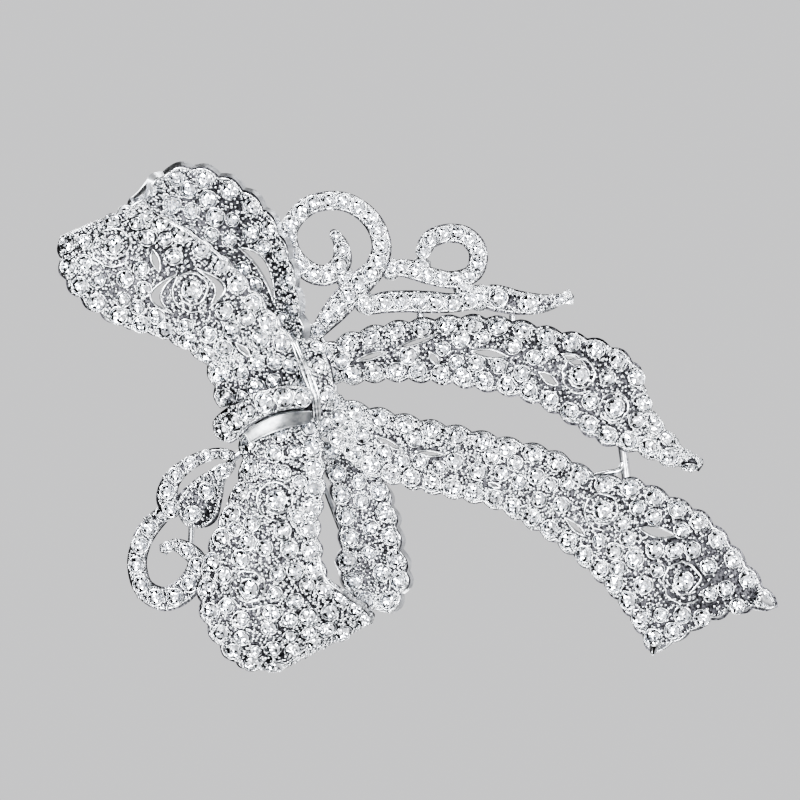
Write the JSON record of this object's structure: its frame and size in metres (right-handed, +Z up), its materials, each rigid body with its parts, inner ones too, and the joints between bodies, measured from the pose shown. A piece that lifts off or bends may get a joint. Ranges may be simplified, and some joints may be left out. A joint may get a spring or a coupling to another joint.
{
  "type": "bow brooch",
  "caption": "Openwork ribbon bow brooch with looped ribbon, two tails and scroll sprays, set all over with clear round stones, with a hinged pin and a turning safety catch behind",
  "frame": {"origin": "centre of the knot, on the plane of the back that lies against the cloth", "axes": "+Z up as worn, loops above and tails below; +X to the viewer's right; the front faces -Y"},
  "size_m": [0.0693, 0.0221, 0.0973],
  "materials": {
    "plated_metal": "rhodium-plated cast white metal, fine granulated texture",
    "polished_plate": "bright plain plated metal",
    "pin_steel": "drawn and polished steel",
    "crystal": "clear foil-backed faceted glass"
  },
  "bodies": {
    "bow": {"bar_stub": "plated_metal", "bulb_prong": "plated_metal", "bulb_stone": "crystal", "catch_housing": "plated_metal", "crescent_root": "plated_metal", "flame_leaf": "plated_metal", "hinge_bracket": "plated_metal", "hinge_rivet": "pin_steel", "knot_band": "plated_metal", "knot_collar": "polished_plate", "knot_core": "plated_metal", "knot_plate": "plated_metal", "knot_side": "plated_metal", "knot_stone_1": "crystal", "knot_stone_2": "crystal", "knot_stone_3": "crystal", "knot_stone_4": "crystal", "knot_stone_5": "crystal", "knot_stone_6": "crystal", "large_scroll": "plated_metal", "leaf_stone_lower": "crystal", "leaf_stone_upper": "crystal", "leaf_stub": "plated_metal", "lower_loop_back": "plated_metal", "lower_loop_front": "plated_metal", "lower_tail": "plated_metal", "ring_stub": "plated_metal", "rosette_stone_lower_loop_lower": "crystal", "rosette_stone_lower_loop_upper": "crystal", "rosette_stone_lower_tail_lower": "crystal", "rosette_stone_lower_tail_upper": "crystal", "rosette_stone_upper_loop_middle": "crystal", "rosette_stone_upper_loop_tip": "crystal", "rosette_stone_upper_tail_lower": "crystal", "rosette_stone_upper_tail_upper": "crystal", "scroll_lower_bar": "plated_metal", "scroll_stone_side": "crystal", "scroll_stone_stem": "crystal", "scroll_stone_top": "crystal", "side_crescent": "plated_metal", "side_spiral": "plated_metal", "small_scroll": "plated_metal", "spiral_bridge": "plated_metal", "spiral_prong": "plated_metal", "tail_strut": "plated_metal", "upper_loop_back": "plated_metal", "upper_loop_front": "plated_metal", "upper_tail": "plated_metal"},
    "pin": {"pin_stem": "pin_steel"},
    "catch_lock": {"catch_roller": "pin_steel"}
  },
  "joints": [
    {"name": "pin_hinge", "type": "hinge", "parent": "bow", "child": "pin", "pos_m": [0.0076, 0.0056, 0.0016], "axis": [0.3535, 0, -0.9354], "range_deg": [0, 70]},
    {"name": "catch_turn", "type": "hinge", "parent": "bow", "child": "catch_lock", "pos_m": [-0.02327, 0.0056, -0.01006], "axis": [-0.9354, 0, -0.3535], "range_deg": [0, 90]}
  ]
}
